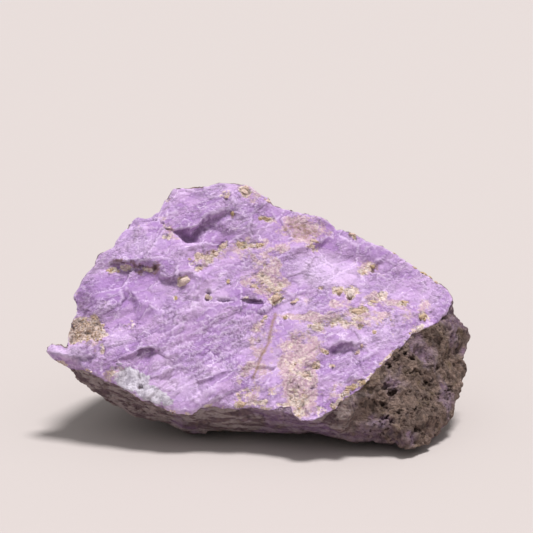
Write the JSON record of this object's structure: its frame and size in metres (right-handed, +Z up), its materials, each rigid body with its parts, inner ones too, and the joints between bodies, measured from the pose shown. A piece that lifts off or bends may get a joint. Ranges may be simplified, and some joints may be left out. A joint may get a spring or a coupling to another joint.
{
  "type": "rough stone specimen",
  "caption": "Rough broken piece of lilac phosphosiderite with cream crust, a leaning fracture face, a pitted grey side and a flat spot to rest on.",
  "frame": {"origin": "on the ground, under the middle of the stone's box", "axes": "+X to the right along the stone's length as its broken face is looked at, +Y to the back, +Z up"},
  "size_m": [0.1176, 0.0742, 0.0624],
  "materials": {
    "lilac_stone": "dull broken stone, lilac with cream crust and a grey rind"
  },
  "bodies": {
    "root": {"stone": "lilac_stone"}
  },
  "joints": []
}
